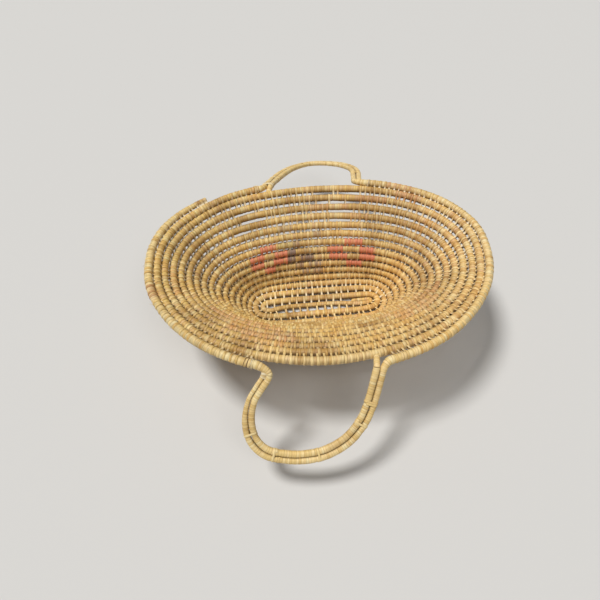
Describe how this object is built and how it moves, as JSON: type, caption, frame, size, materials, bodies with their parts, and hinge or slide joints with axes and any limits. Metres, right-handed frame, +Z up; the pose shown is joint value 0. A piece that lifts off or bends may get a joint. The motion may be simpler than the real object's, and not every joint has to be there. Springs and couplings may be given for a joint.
{
  "type": "coiled basket",
  "caption": "Oval basket of wrapped straw coil sewn round by round with open gaps, flaring from a narrow base, with limp coiled loop handles hinged at the rim.",
  "frame": {"origin": "on the table under the middle of the whole outline, handles included", "axes": "+X along the basket's long side, +Y towards the back handle, +Z up"},
  "size_m": [0.5012, 0.5726, 0.1517],
  "materials": {
    "wrapped_straw_coil": "matte straw gold, wrapped strands",
    "handle_straw_coil": "matte straw gold, wrapped strands",
    "pale_straw_binding": "matte pale straw",
    "brown_thread": "matte brown thread"
  },
  "bodies": {
    "basket": {"base_start_coil": "wrapped_straw_coil", "round_01_coil": "wrapped_straw_coil", "round_02_coil": "wrapped_straw_coil", "round_03_coil": "wrapped_straw_coil", "round_04_coil": "wrapped_straw_coil", "round_05_coil": "wrapped_straw_coil", "round_06_coil": "wrapped_straw_coil", "round_07_coil": "wrapped_straw_coil", "round_08_coil": "wrapped_straw_coil", "round_09_coil": "wrapped_straw_coil", "round_10_coil": "wrapped_straw_coil", "round_11_coil": "wrapped_straw_coil", "round_12_coil": "wrapped_straw_coil", "round_13_coil": "wrapped_straw_coil", "round_14_coil": "wrapped_straw_coil", "round_15_coil": "wrapped_straw_coil", "right_rim_coil": "wrapped_straw_coil", "left_rim_coil": "wrapped_straw_coil", "front_mending_thread": "brown_thread", "back_mending_thread": "brown_thread"},
    "front_handle": {"front_handle_outer_coil": "handle_straw_coil", "front_handle_inner_coil": "handle_straw_coil", "front_handle_lashing": "pale_straw_binding"},
    "back_handle": {"back_handle_outer_coil": "handle_straw_coil", "back_handle_inner_coil": "handle_straw_coil", "back_handle_lashing": "pale_straw_binding"}
  },
  "joints": [
    {"name": "front_handle_hinge", "type": "hinge", "parent": "basket", "child": "front_handle", "pos_m": [-0.01407, -0.1923, 0.14388], "axis": [-0.9997, 0.0223, 0.0035], "range_deg": [-45, 150]},
    {"name": "back_handle_hinge", "type": "hinge", "parent": "basket", "child": "back_handle", "pos_m": [0.00033, 0.13861, 0.13989], "axis": [0.9995, 0.0325, 0.0042], "range_deg": [-30, 150]}
  ]
}
